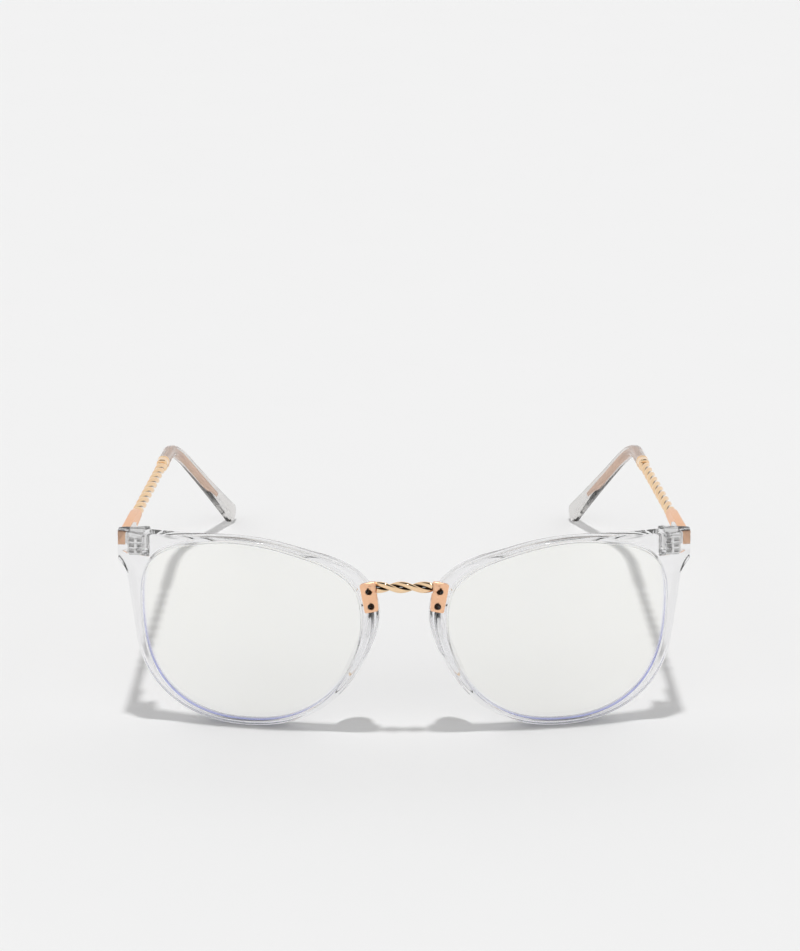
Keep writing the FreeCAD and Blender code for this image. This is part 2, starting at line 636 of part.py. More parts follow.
def temple_tip():
    """Clear plastic tip, bent over the ear and wider towards its round end."""
    width, height = COLLAR_WIDTH - 2 * COLLAR_STEP, COLLAR_HEIGHT - 2 * COLLAR_STEP
    section = rounded_rectangle(width, height, width * 0.42)
    straight, bend = along_temple(section, COLLAR_END)
    wires = []
    end = TIP_RUN + TIP_END_HEIGHT / 2
    shapes = ((0, width, height), (TIP_RUN * 0.5, TIP_THICKNESS, TIP_MIDDLE_HEIGHT),
              (end, TIP_THICKNESS, TIP_END_HEIGHT))
    for run, w, h in shapes:
        wire = rounded_rectangle(w, h, w * 0.42)
        wire.translate(Vector(0, run, 0))
        wires.append(wire)
    tail = Part.makeLoft(wires, True, False)
    radius = TIP_END_HEIGHT / 2
    end_box = box((-FAR, TIP_RUN, -FAR), (FAR, TIP_RUN + FAR, FAR))
    disc = Part.makeCylinder(radius, 2 * FAR, Vector(-FAR, TIP_RUN, 0), X_AXIS)
    tail = placed(tail.cut(end_box.cut(disc)), TIP_FRAME)
    return straight.fuse(bend).fuse(tail).removeSplitter().cut(temple_core())


# ---- assembly ----

def right_frame():
    """The right temple's frame, for the twist, which isn't mirrored."""
    turn = Rotation(Z_AXIS, -TEMPLE_CONVERGE).multiply(Rotation(X_AXIS, -TEMPLE_SLOPE))
    return Placement(Vector(-TEMPLE_X, ENDPIECE_BACK, TEMPLE_Z), turn)


def bridge_strand(phase):
    """One wire of the bridge, along X between the two ferrules."""
    wire = strand(BRIDGE_SPAN, phase)
    wire.rotate(Vector(0, 0, 0), Z_AXIS, -90)
    wire.translate(Vector(-BRIDGE_SPAN / 2, BRIDGE_SET, BRIDGE_HEIGHT))
    return wire


def parts():
    """Every node's name and shape."""
    left = {
        "rim": rim(), "lens": lens(), "nose_pad": nose_pad(),
        "bridge_plate": bridge_plate(), "bridge_screws": bridge_screws(),
        "front_hinge": front_hinge(), "hinge_screw": hinge_screw(), "temple_hinge": temple_hinge(),
        "hinge_rivets": Part.makeCompound(rivets(RIVET_RADIUS, True)),
        "temple_bar": temple_bar(), "temple_collar": collar(),
        "temple_core": temple_core(), "temple_tip": temple_tip(),
    }
    named = {}
    for name, shape in left.items():
        named[name + "_left"] = shape
        named[name + "_right"] = mirrored(shape)
    for phase, which in ((0, "a"), (180, "b")):
        named["bridge_wire_" + which] = bridge_strand(phase)
        named["temple_wire_" + which + "_left"] = temple_twist(phase, TEMPLE_FRAME)
        named["temple_wire_" + which + "_right"] = temple_twist(phase, right_frame())
    return named


def centred(named):
    """Move the whole model so that it stands on Z = 0 about the middle of its footprint."""
    bounds = Part.makeCompound(list(named.values())).optimalBoundingBox(True)
    shift = Vector(0, -bounds.Center.y, -bounds.ZMin)
    print("moved by", round(shift.y, 4), round(shift.z, 4), "size", round(bounds.XLength, 3),
          round(bounds.YLength, 3), round(bounds.ZLength, 3))
    print("hinge axis at", HINGE_X, round(HINGE_Y + shift.y, 4), round(HINGE_MIDDLE + shift.z, 4))
    for shape in named.values():
        shape.translate(shift)
    return named


os.makedirs("parts", exist_ok=True)
for node, shape in centred(parts()).items():
    good = shape.isValid() and len(shape.Solids) >= 1
    print(f"{node:24s} solids {len(shape.Solids)} volume {shape.Volume:9.3f} valid {good}")
    shape.exportStep(os.path.join("parts", node + ".step"))
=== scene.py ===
import json
import logging
import math
from dataclasses import dataclass
from enum import Enum
from typing import Union

import bmesh
import bpy
import numpy as np
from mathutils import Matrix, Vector


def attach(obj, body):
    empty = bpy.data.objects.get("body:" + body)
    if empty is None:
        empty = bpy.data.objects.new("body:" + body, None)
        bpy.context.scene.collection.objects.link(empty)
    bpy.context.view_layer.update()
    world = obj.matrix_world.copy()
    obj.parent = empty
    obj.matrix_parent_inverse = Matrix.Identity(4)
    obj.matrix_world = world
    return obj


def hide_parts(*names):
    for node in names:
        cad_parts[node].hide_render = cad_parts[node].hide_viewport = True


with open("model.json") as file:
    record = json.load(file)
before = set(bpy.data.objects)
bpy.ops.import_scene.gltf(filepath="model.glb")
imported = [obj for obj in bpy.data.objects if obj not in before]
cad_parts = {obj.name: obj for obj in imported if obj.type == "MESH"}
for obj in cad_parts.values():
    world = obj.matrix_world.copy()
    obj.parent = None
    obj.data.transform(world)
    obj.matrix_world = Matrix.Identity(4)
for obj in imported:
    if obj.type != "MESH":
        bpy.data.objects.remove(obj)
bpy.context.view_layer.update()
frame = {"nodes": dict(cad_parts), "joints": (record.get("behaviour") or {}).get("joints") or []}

# Spectacles with clear rims and twisted rose gold wire, open on a pale table.
# Shapes are worked out in millimetres about the middle of the bridge's face, with +X to the
# wearer's left, -Y ahead and +Z up from the table, and are moved by SHIFT into the row frame.

LOG = logging.getLogger("spectacles")
MM = 0.001
HINGE_AXIS = np.array([64.5, 16.4419, 45.4])
SHIFT = np.array(frame["joints"][0]["pos_m"]) / MM - HINGE_AXIS


class Side(Enum):
    """Which of the wearer's sides a piece is on."""

    LEFT = 1
    RIGHT = -1

    def node(self, name: str) -> str:
        """The CAD node of a kind of piece on this side."""
        return f"{name}_{self.name.lower()}"

    @property
    def temple(self) -> str:
        """The CAD body of this side's temple."""
        return f"temple_{self.name.lower()}"

    def mirror(self, points: np.ndarray) -> np.ndarray:
        """Left-hand points, turned over the middle of the face on the right."""
        return points * np.array([self.value, 1.0, 1.0])


# ---- shader expressions ----

Number = Union[float, "Term"]


class Term:
    """A node's output socket that can stand in a sum; each operator adds one Math node."""

    def __init__(self, shader: "Shader", socket: bpy.types.NodeSocket) -> None:
        """Wrap a socket of one shader's tree."""
        self.shader = shader
        self.socket = socket

    def _math(self, operation: str, first: Number, second: Number) -> "Term":
        """One Math node on two values or terms."""
        return self.shader.node("ShaderNodeMath", {"operation": operation}, {0: first, 1: second})

    def __add__(self, other: Number) -> "Term":
        """Self plus other."""
        return self._math("ADD", self, other)

    __radd__ = __add__

    def __sub__(self, other: Number) -> "Term":
        """Self less other."""
        return self._math("SUBTRACT", self, other)

    def __rsub__(self, other: Number) -> "Term":
        """Other less self."""
        return self._math("SUBTRACT", other, self)

    def __mul__(self, other: Number) -> "Term":
        """Self times other."""
        return self._math("MULTIPLY", self, other)

    __rmul__ = __mul__


class Shader:
    """A material or world node tree, and the one way that nodes get into it."""

    def __init__(self, owner: Union[bpy.types.Material, bpy.types.World]) -> None:
        """Empty the owner's tree, ready for new nodes.

        Args:
            owner: the material or world whose nodes are made.
        """
        owner.use_nodes = True
        self.tree = owner.node_tree
        self.tree.nodes.clear()

    def node(self, kind: str, settings: dict, inputs: dict, output: Union[int, str] = 0) -> Term:
        """Make a node, set it up and link it.

        Args:
            kind: Blender's name for the node type.
            settings: properties, set first; "stops" holds a ramp's (place, colour) pairs.
            inputs: socket name or number to a value or a Term.
            output: which of the node's outputs is wanted.

        Returns:
            The chosen output as a Term.
        """
        made = self.tree.nodes.new(kind)
        for key, value in settings.items():
            if key == "stops":
                ramp = made.color_ramp.elements
                while len(ramp) < len(value):
                    ramp.new(0.5)
                for stop, (place, colour) in zip(ramp, value):
                    stop.position = place
                    stop.color = (*colour, 1.0)
            else:
                setattr(made, key, value)
        for key, value in inputs.items():
            if isinstance(value, Term):
                self.tree.links.new(value.socket, made.inputs[key])
            else:
                made.inputs[key].default_value = value
        if not made.outputs:
            return Term(self, None)
        return Term(self, made.outputs[output])

    def place(self, stretch: tuple[float, float, float] = (1.0, 1.0, 1.0)) -> Term:
        """The point on the piece in millimetres, with each axis stretched."""
        point = self.node("ShaderNodeTexCoord", {}, {}, "Object")
        scale = tuple(s / MM for s in stretch)
        return self.node("ShaderNodeMapping", {}, {"Vector": point, "Scale": scale})

    def cloud(self, where: Term, size: float, detail: float = 2.0) -> Term:
        """Soft noise from 0 to 1 whose patches are about size across, in millimetres."""
        inputs = {"Vector": where, "Scale": 1.0 / size, "Detail": detail, "Roughness": 0.5}
        return self.node("ShaderNodeTexNoise", {"noise_dimensions": "3D"}, inputs, 0)

    def blend(self, share: Number, first: Union[Term, tuple], second: tuple) -> Term:
        """A colour between two, by a share from 0 to 1."""
        start = first if isinstance(first, Term) else (*first, 1.0)
        inputs = {0: share, 6: start, 7: (*second, 1.0)}
        return self.node("ShaderNodeMix", {"data_type": "RGBA"}, inputs, 2)

    def bump(self, height: Term, distance: float) -> Term:
        """A normal bent by a height whose full range is distance millimetres."""
        inputs = {"Height": height, "Distance": distance * MM, "Strength": 1.0}
        return self.node("ShaderNodeBump", {}, inputs, "Normal")

    def surface(self, inputs: dict) -> None:
        """Finish a material with one Principled shader."""
        made = self.node("ShaderNodeBsdfPrincipled", {}, inputs, "BSDF")
        self.node("ShaderNodeOutputMaterial", {}, {"Surface": made})


# ---- finishes ----


@dataclass(frozen=True)
class Metal:
    """A plated or plain metal: two near colours in soft patches, a fine grain, and painted shade that
    darkens the groove between twisted wires.
    """

    name: str
    colour: tuple[float, float, float]
    shade: tuple[float, float, float]
    roughness: float
    spread: float
    grain: float
    stretch: tuple[float, float, float] = (1.0, 1.0, 1.0)
    painted_groove_shade: float = 0.04

    def material(self) -> bpy.types.Material:
        """The finish as a Blender material."""
        made = bpy.data.materials.new(self.name)
        shader = Shader(made)
        patches = shader.cloud(shader.place(), 2.6)
        brushed = shader.cloud(shader.place(self.stretch), 0.22, 3.0)
        body = shader.blend(patches, self.colour, self.shade)
        # Painted shade and dark reflection: where the wire's groove mask is high, the base colour falls to
        # a few hundredths of the shade colour.
        deep = shader.node("ShaderNodeAttribute", {"attribute_name": "groove"}, {}, "Fac")
        dark = tuple(self.painted_groove_shade * c for c in self.shade)
        shader.surface({
            "Base Color": shader.blend(deep, body, dark),
            "Metallic": 1.0,
            "Roughness": self.roughness + (brushed - 0.5) * self.spread,
            "Normal": shader.bump(brushed, self.grain),
        })
        return made


@dataclass(frozen=True)
class Clear:
    """A clear moulded plastic: even inside, faintly wavy and rubbed outside."""

    name: str
    colour: tuple[float, float, float]
    haze: tuple[float, float, float]
    roughness: float
    ior: float
    wave: float

    def material(self) -> bpy.types.Material:
        """The finish as a Blender material."""
        made = bpy.data.materials.new(self.name)
        shader = Shader(made)
        wave = shader.cloud(shader.place(), 3.5, 1.0)
        rubbed = shader.cloud(shader.place(), 0.6, 3.0)
        shader.surface({
            "Base Color": shader.blend(wave, self.colour, self.haze),
            "Roughness": self.roughness + rubbed * rubbed * self.roughness,
            "Transmission Weight": 1.0,
            "IOR": self.ior,
            "Normal": shader.bump(wave, self.wave),
        })
        return made


@dataclass(frozen=True)
class LensTintAndReflection:
    """The lens: almost clear and faintly warm, with a thin-film coating and a painted blue reflection of it
    in a band along the edge.
    """

    name: str
    clear: tuple[float, float, float] = (0.985, 0.99, 0.975)
    warm: tuple[float, float, float] = (0.985, 0.985, 0.955)
    painted_reflection_blue: tuple[float, float, float] = (0.36, 0.40, 0.90)

    def material(self) -> bpy.types.Material:
        """The finish as a Blender material."""
        made = bpy.data.materials.new(self.name)
        shader = Shader(made)
        # Painted reflection: the coating's blue is painted into the base colour in a band along the edge,
        # strongest low and outwards.
        edge = shader.node("ShaderNodeAttribute", {"attribute_name": "edge_tint"}, {}, "Fac")
        patches = shader.cloud(shader.place(), 30.0, 1.0)
        body = shader.blend(patches, self.clear, self.warm)
        shader.surface({
            "Base Color": shader.blend(edge, body, self.painted_reflection_blue),
            "Roughness": 0.0,
            "Transmission Weight": 1.0,
            "IOR": 1.5,
            "Thin Film Thickness": 330.0,
            "Thin Film IOR": 1.38,
        })
        return made


@dataclass(frozen=True)
class Finishes:
    """Every finish of the spectacles."""

    rope: Metal = Metal("polished_rose_gold", (0.98, 0.75, 0.47), (0.94, 0.63, 0.40), 0.045, 0.03, 0.001)
    satin: Metal = Metal("satin_rose_gold", (0.97, 0.60, 0.385), (0.94, 0.56, 0.35), 0.36, 0.16, 0.008,
                         (0.3, 0.3, 3.0))
    silver: Metal = Metal("hinge_silver", (0.90, 0.90, 0.895), (0.78, 0.775, 0.77), 0.20, 0.10, 0.004)
    dark: Metal = Metal("screw_bronze", (0.05, 0.03, 0.02), (0.03, 0.018, 0.012), 0.34, 0.10, 0.004)
    core: Metal = Metal("core_rose_gold", (0.97, 0.72, 0.58), (0.95, 0.68, 0.54), 0.30, 0.08, 0.003)
    rim: Clear = Clear("clear_rim_plastic", (0.945, 0.945, 0.95), (0.925, 0.925, 0.935), 0.015, 1.49, 0.006)
    tip: Clear = Clear("clear_tip_plastic", (0.80, 0.785, 0.77), (0.75, 0.735, 0.72), 0.10, 1.49, 0.02)
    lens: LensTintAndReflection = LensTintAndReflection("lens_plastic")


# ---- surfaces ----


def periodic_spline(knots: np.ndarray, values: np.ndarray, at: np.ndarray) -> np.ndarray:
    """Closed cubic spline: each span is a cubic, with value, slope and bend continuous.

    Args:
        knots: n + 1 rising parameters; the last is the first again after one lap.
        values: n points, one at each knot but the last.
        at: parameters where the curve is wanted.

    Returns:
        One point for each parameter.
    """
    count = len(values)
    gap = np.diff(knots)
    before = np.roll(gap, 1)
    rows = np.arange(count)
    system = np.zeros((count, count))
    system[rows, rows] = 2 * (gap + before)
    system[rows, (rows + 1) % count] += gap
    system[rows, (rows - 1) % count] += before
    after_slope = (np.roll(values, -1, 0) - values) / gap[:, None]
    before_slope = np.roll(after_slope, 1, 0)
    second = np.linalg.solve(system, 6 * (after_slope - before_slope))
    at = (at - knots[0]) % (knots[-1] - knots[0]) + knots[0]
    span = np.clip(np.searchsorted(knots, at, side="right") - 1, 0, count - 1)
    nxt = (span + 1) % count
    width = gap[span][:, None]
    t = (at - knots[span])[:, None]
    back = width - t
    return (
        second[span] * back**3 / (6 * width)
        + second[nxt] * t**3 / (6 * width)
        + (values[span] / width - second[span] * width / 6) * back
        + (values[nxt] / width - second[nxt] * width / 6) * t
    )


def smooth_step(value: np.ndarray, low: float, high: float) -> np.ndarray:
    """0 below low, 1 above high, and 3t^2 - 2t^3 between."""
    t = np.clip((value - low) / (high - low), 0.0, 1.0)
    return t * t * (3 - 2 * t)


def oblong(power: float, count: int) -> np.ndarray:
    """A rounded oblong two units across: sine and cosine, each kept in sign, to 2 / power."""
    turn = np.linspace(0, 2 * math.pi, count, endpoint=False)
    round_one = np.stack([np.cos(turn), np.sin(turn)], -1)
    return np.sign(round_one) * np.abs(round_one) ** (2 / power)


def note(piece: bpy.types.Object, name: str, values: np.ndarray) -> None:
    """Store a value for each grid point of a fan-ended Skin's mesh, with 0 at both end points."""
    row = np.concatenate([values.ravel(), [0.0, 0.0]]).astype(np.float32)
    piece.data.attributes.new(name, "FLOAT", "POINT").data.foreach_set("value", row)


@dataclass
class Skin:
    """A closed surface on a grid of points: rows are carried along, columns go round."""

    points: np.ndarray
    ring: bool = False

    def faces(self) -> tuple[np.ndarray, list[list[int]]]:
        """Vertices and faces: quads on the grid, and a fan over each end unless it is a ring.

        Returns:
            All vertices, and each face as a list of vertex numbers.
        """
        rows, columns = self.points.shape[:2]
        vertices = self.points.reshape(-1, 3)
        index = np.arange(rows * columns).reshape(rows, columns)
        beside = np.roll(index, -1, 1)
        if self.ring:
            onward, onward_beside = np.roll(index, -1, 0), np.roll(beside, -1, 0)
        else:
            index, onward = index[:-1], index[1:]
            beside, onward_beside = beside[:-1], beside[1:]
        quads = np.stack([index, beside, onward_beside, onward], -1).reshape(-1, 4).tolist()
        if self.ring:
            return vertices, quads
        ends = np.stack([self.points[0].mean(0), self.points[-1].mean(0)])
        base = rows * columns
        first = np.arange(columns)
        last = first + (rows - 1) * columns
        fans = []
        for number, edge in enumerate((first, last)):
            centre = np.full(columns, base + number)
            fans += np.stack([edge, np.roll(edge, -1), centre], -1).tolist()
        return np.vstack([vertices, ends]), quads + fans

    def build(self, name: str, material: bpy.types.Material, crease: float = 38.0) -> bpy.types.Object:
        """The surface as an object at the origin, with its place in its mesh.

        Args:
            name: the piece's name.
            material: its finish.
            crease: angle in degrees above which an edge is sharp.

        Returns:
            The new object, linked to the scene.
        """
        vertices, faces = self.faces()
        mesh = bpy.data.meshes.new(name)
        mesh.from_pydata(((vertices + SHIFT) * MM).tolist(), [], faces)
        work = bmesh.new()
        work.from_mesh(mesh)
        bmesh.ops.recalc_face_normals(work, faces=work.faces)
        work.to_mesh(mesh)
        work.free()
        mesh.shade_smooth()
        mesh.set_sharp_from_angle(angle=math.radians(crease))
        mesh.materials.append(material)
        made = bpy.data.objects.new(name, mesh)
        bpy.context.scene.collection.objects.link(made)
        return made


def stand_in(piece: bpy.types.Object, body: str, node: str) -> None:
    """Let a piece ride on a body in place of a CAD node, and report it.

    Args:
        piece: the finished piece.
        body: the CAD body that it moves with.
        node: the CAD node that it stands for.
    """
    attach(piece, body)
    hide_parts(node)
    LOG.info("%s: %d faces for %s", piece.name, len(piece.data.polygons), node)


def dress(node: str, material: bpy.types.Material) -> None:
    """Give a CAD node that stays its own finish."""
    target = frame["nodes"][node]
    if not target.material_slots:
        target.data.materials.append(material)
    for slot in target.material_slots:
        slot.link = "OBJECT"
        slot.material = material
    LOG.info("%s: CAD node in %s", node, material.name)


def worked(node: str, name: str, finish: bpy.types.Material, edge: float) -> bpy.types.Object:
    """A CAD node's own shape with merged corners, its sharp edges broken where asked.

    Args:
        node: the CAD node.
        name: the piece's name.
        finish: its material.
        edge: width of the broken edges in millimetres, or 0 to leave them sharp.

    Returns:
        The new object, in the node's place.
    """
    mesh = frame["nodes"][node].data.copy()
    mesh.name = name
    work = bmesh.new()
    work.from_mesh(mesh)
    bmesh.ops.remove_doubles(work, verts=work.verts, dist=1e-6)
    bmesh.ops.recalc_face_normals(work, faces=work.faces)
    work.to_mesh(mesh)
    work.free()
    mesh.materials.clear()
    mesh.materials.append(finish)
    mesh.shade_smooth()
    mesh.set_sharp_from_angle(angle=math.radians(35))
    made = bpy.data.objects.new(name, mesh)
    bpy.context.scene.collection.objects.link(made)
    if edge:
        bevel = made.modifiers.new("broken_edges", "BEVEL")
        bevel.width = edge * MM
        bevel.segments = 2
        bevel.limit_method = "ANGLE"
        bevel.angle_limit = math.radians(40)
        bevel.harden_normals = True
    return made


# ---- front ----


@dataclass
class LensFrame:
    """Where one lens opening lies: its own u outwards, v up, and depth behind its face."""

    width: float = 54.9
    height: float = 47.6
    gap: float = 22.0
    set_back: float = 0.42
    centre_height: float = 25.1
    wrap: float = 8.4
    curve: float = 130.0

    @property
    def centre_x(self) -> float:
        """Distance of the opening's middle from the middle of the face."""
        return (self.gap + self.width) / 2

    def face(self, uv: np.ndarray, depth: Union[float, np.ndarray] = 0.0) -> np.ndarray:
        """How far back the sphere of the rim's face, less a depth, lies at (u, v)."""
        radius = self.curve - depth
        return self.curve - np.sqrt(radius**2 - uv[..., 0] ** 2 - uv[..., 1] ** 2)

    def out(self, uv: np.ndarray, y: np.ndarray) -> np.ndarray:
        """Points of the left lens frame in the frame of the whole front."""
        c, s = math.cos(math.radians(self.wrap)), math.sin(math.radians(self.wrap))
        u, v = uv[..., 0], uv[..., 1]
        x = self.centre_x + u * c - y * s
        return np.stack([x, self.set_back + u * s + y * c, self.centre_height + v], -1)


@dataclass
class Opening:
    """The lens opening's outline, and the rim's width all round it.

    Each station is a share of the half width, a share of the half height and the rim's width.
    """

    frame: LensFrame
    stations: tuple[tuple[float, float, float], ...] = (
        (0.230, 0.998, 1.2), (0.501, 0.954, 1.9), (0.736, 0.880, 3.3), (0.902, 0.743, 5.0),
        (0.975, 0.573, 4.5), (1.000, 0.296, 3.1), (0.989, 0.010, 2.45), (0.942, -0.304, 2.45),
        (0.812, -0.623, 2.0), (0.591, -0.855, 1.5), (0.300, -0.978, 1.3), (0.013, -1.000, 1.3),
        (-0.277, -0.957, 1.3), (-0.541, -0.818, 1.5), (-0.747, -0.602, 1.9), (-0.895, -0.317, 2.6),
        (-0.982, -0.014, 3.6), (-0.996, 0.296, 4.3), (-0.942, 0.532, 3.3), (-0.794, 0.710, 2.4),
        (-0.530, 0.851, 1.5), (-0.277, 0.938, 1.3),
    )

    def __post_init__(self) -> None:
        """Set out the knots by chord length and the stations' outward directions."""
        table = np.array(self.stations)
        half = np.array([self.frame.width / 2, self.frame.height / 2])
        self.inner = table[:, :2] * half
        chord = np.linalg.norm(np.roll(self.inner, -1, 0) - self.inner, axis=1)
        self.knots = np.concatenate([[0.0], np.cumsum(chord)])
        self.grown = self.inner + self.outward(self.knots[:-1]) * table[:, 2:3]

    @property
    def lap(self) -> float:
        """The outline's length."""
        return float(self.knots[-1])

    def edge(self, at: np.ndarray) -> np.ndarray:
        """Points of the opening's edge."""
        return periodic_spline(self.knots, self.inner, at)

    def outward(self, at: np.ndarray) -> np.ndarray:
        """Unit directions away from the opening: its tangent turned by a right angle."""
        step = 0.01
        along = self.edge(at + step) - self.edge(at - step)
        along /= np.linalg.norm(along, axis=1, keepdims=True)
        return np.stack([-along[:, 1], along[:, 0]], -1)

    def outside(self, at: np.ndarray) -> np.ndarray:
        """Points of the ring's outside."""
        return periodic_spline(self.knots, self.grown, at)


@dataclass
class Rim:
    """A clear rim: one closed section carried round the opening, drawn out to the endpiece.

    The section runs down the grooved inner wall, over the back, up the outside and over the
    face. The back drops to a flat behind the endpiece.
    """

    opening: Opening
    depth: float = 3.8
    soft_inner: float = 0.25
    soft_outer: float = 0.6
    groove: tuple[float, float, float] = (0.98, 2.82, 0.42)
    half_front: float = 71.0
    side_soft: float = 0.12
    corner_soft: float = 0.55
    block_inside: float = 63.0
    block_low: float = 42.8
    block_back: float = 14.94
    sections: int = 660
    corner_steps: int = 1400
    # Corners of the endpiece's outline: station number, then u and v.
    endpiece: tuple[tuple[float, float, float], ...] = (
        (1.15, 15.6, 24.58), (1.9, 20.3, 24.36), (2.5, 27.7, 24.1), (2.95, 35.2, 24.0),
        (3.35, 35.2, 17.75), (3.6, 33.35, 16.5), (3.8, 32.3, 15.1), (4.0, 31.55, 13.6),
        (4.33, 31.05, 11.4), (4.72, 30.72, 8.8),
    )

    def stops(self) -> np.ndarray:
        """Parameters of the sections, closer together round the endpiece and the plate."""
        knots = self.opening.knots
        near = np.linspace(0, 1, 3001)
        place = near * self.opening.lap
        corner = smooth_step(place, knots[1] - 2, knots[1] + 2)
        corner = corner * (1 - smooth_step(place, knots[5], knots[5] + 4))
        plate = smooth_step(place, knots[16], knots[17]) * (1 - smooth_step(place, knots[19], knots[20]))
        dense = 1 + 2.2 * corner + 1.2 * plate
        share = np.concatenate([[0.0], np.cumsum((dense[1:] + dense[:-1]) / 2)])
        return np.interp(np.linspace(0, share[-1], self.sections, endpoint=False), share, place)

    def outside(self, at: np.ndarray) -> np.ndarray:
        """The rim's outside: the ring's, but the endpiece's rounded corners where it has them."""
        knots = self.opening.knots
        ring = self.opening.outside(at)
        table = np.array(self.endpiece)
        station = np.interp(table[:, 0], np.arange(len(knots)), knots)
        line = np.linspace(station[0] - 3, station[-1] + 3, self.corner_steps)
        base = self.opening.outside(line)
        drawn = np.stack([np.interp(line, station, table[:, k]) for k in (1, 2)], -1)
        inside = (line > station[0]) & (line < station[-1])
        path = np.where(inside[:, None], drawn, base)
        reach = np.abs(line[:, None] - line[None, :])
        weight = np.exp(-((reach / self.corner_soft) ** 2))
        path = weight @ path / weight.sum(1, keepdims=True)
        mixed = np.stack([np.interp(at, line, path[:, k]) for k in (0, 1)], -1)
        share = smooth_step(at, line[0] + 1, line[0] + 2.5)
        share = share * (1 - smooth_step(at, line[-1] - 2.5, line[-1] - 1))
        return ring + (mixed - ring) * share[:, None]

    def section(self) -> np.ndarray:
        """The section's points: share across, millimetres across, share and millimetres deep."""
        ri, ro = self.soft_inner, self.soft_outer
        first, last, deep = self.groove
        turn = np.linspace(0, math.pi / 2, 6)[1:-1]
        wall = [(0, 0, 0, ri), (0, 0, 0, first), (0, deep, 0, first), (0, deep, 0, last), (0, 0, 0, last)]
        one, rise, fall = np.ones(len(turn)), 1 - np.sin(turn), 1 - np.cos(turn)
        inner_back = np.stack([0 * one, ri * fall, one, -ri * rise], -1)
        t = np.linspace(0, 1, 26)
        back = np.stack([t, ri * (1 - t) - ro * t, 1 + 0 * t, 0 * t], -1)
        outer_back = np.stack([one, -ro * rise, one, -ro * fall], -1)
        k = np.linspace(1, 0, 9)
        outer = np.stack([1 + 0 * k, 0 * k, k, ro * (1 - 2 * k)], -1)
        outer_face = np.stack([one, -ro * fall, 0 * one, ro * rise], -1)
        face = np.stack([1 - t, ri * t - ro * (1 - t), 0 * t, 0 * t], -1)
        inner_face = np.stack([0 * one, ri * rise, 0 * one, ri * fall], -1)
        lip = [(0, 0, 1, -ri)]
        return np.vstack([wall, lip, inner_back, back, outer_back, outer, outer_face, face, inner_face])

    def sheet(self) -> np.ndarray:
        """All points of the left rim, by station along and round the section."""
        at = self.stops()
        inner, outer = self.opening.edge(at), self.outside(at)
        reach = outer - inner
        width = np.linalg.norm(reach, axis=1)
        across = reach / width[:, None]
        table = self.section()
        distance = table[None, :, 0] * width[:, None] + table[None, :, 1]
        uv = inner[:, None] + across[:, None] * distance[..., None]
        optic = self.opening.frame
        face = optic.face(uv)
        back = optic.face(uv, self.depth)
        level = optic.out(uv, back)
        x, y, z = level[..., 0], level[..., 1], level[..., 2]
        block = smooth_step(x, self.block_inside - 0.2, self.block_inside + 0.5)
        block *= smooth_step(z, self.block_low - 0.3, self.block_low + 0.4)
        target = y + (np.maximum(self.block_back, y) - y) * block
        target = np.where(x > self.block_inside, np.minimum(target, self.block_back), target)
        back = back + (target - y) / math.cos(math.radians(optic.wrap))
        depth = face * (1 - table[None, :, 2]) + back * table[None, :, 2] + table[None, :, 3]
        points = optic.out(uv, depth)
        short = (self.half_front - points[..., 0]) / self.side_soft
        points[..., 0] = self.half_front - self.side_soft * np.logaddexp(0, short)
        points[..., 0] = np.minimum(points[..., 0], self.half_front)
        return points

    def build(self, side: Side, finish: bpy.types.Material) -> None:
        """The rim on one side, in place of its CAD node.

        Args:
            side: which rim.
            finish: its material.
        """
        piece = Skin(side.mirror(self.sheet()), ring=True).build(side.node("clear_rim"), finish)
        stand_in(piece, "front", side.node("rim"))


@dataclass
class Lens:
    """A lens: two concentric spheres over the grown outline, with a narrow flat edge."""

    opening: Opening
    front_depth: float = 1.0
    back_depth: float = 2.8
    in_groove: float = 0.38
    rings: int = 48
    spokes: int = 300
    # The band of painted blue reflection along the edge: its width, how far in it reaches, and how it grows
    # towards the lower outer side.
    reflection_band_width: float = 1.1
    reflection_band_reach: float = 26.0
    reflection_band_fade: float = 25.0
    reflection_band_way: tuple[float, float] = (0.45, -0.9)
    reflection_band_gain: float = 1.1
    reflection_band_base: float = 0.12

    def shares(self) -> np.ndarray:
        """How far out each ring lies, from the middle of the face to the edge and back."""
        out = np.sin(np.linspace(0.01, math.pi / 2, self.rings))
        return np.concatenate([out, out[::-1]])

    def sheet(self) -> np.ndarray:
        """Rings from the middle of the face, over the edge, to the middle of the back."""
        at = np.linspace(0, self.opening.lap, self.spokes, endpoint=False)
        edge = self.opening.edge(at) + self.opening.outward(at) * self.in_groove
        depth = np.where(np.arange(2 * self.rings) < self.rings, self.front_depth, self.back_depth)
        uv = edge[None] * self.shares()[:, None, None]
        y = self.opening.frame.face(uv, depth[:, None])
        return self.opening.frame.out(uv, y)

    def build(self, side: Side, finish: bpy.types.Material) -> None:
        """The lens on one side, in place of its CAD node.

        A narrow band along its edge gets a painted blue reflection of the coating, most on the side that
        faces down and outwards.

        Args:
            side: which lens.
            finish: its material.
        """
        points = self.sheet()
        piece = Skin(side.mirror(points)).build(side.node("curved_lens"), finish)
        # Painted reflection mask: a narrow band at the lens edge, weighted down and outwards.
        inset = (1 - self.shares()[:, None]) * self.reflection_band_reach
        middle = points[..., [0, 2]].mean(axis=(0, 1))
        way = (points[..., [0, 2]] - middle) / self.reflection_band_fade
        low = np.clip((way @ np.array(self.reflection_band_way)) * self.reflection_band_gain + self.reflection_band_base, 0, 1)
        note(piece, "edge_tint", smooth_step(self.reflection_band_width - inset, 0.0, self.reflection_band_width) * low)
        stand_in(piece, "front", side.node("lens"))


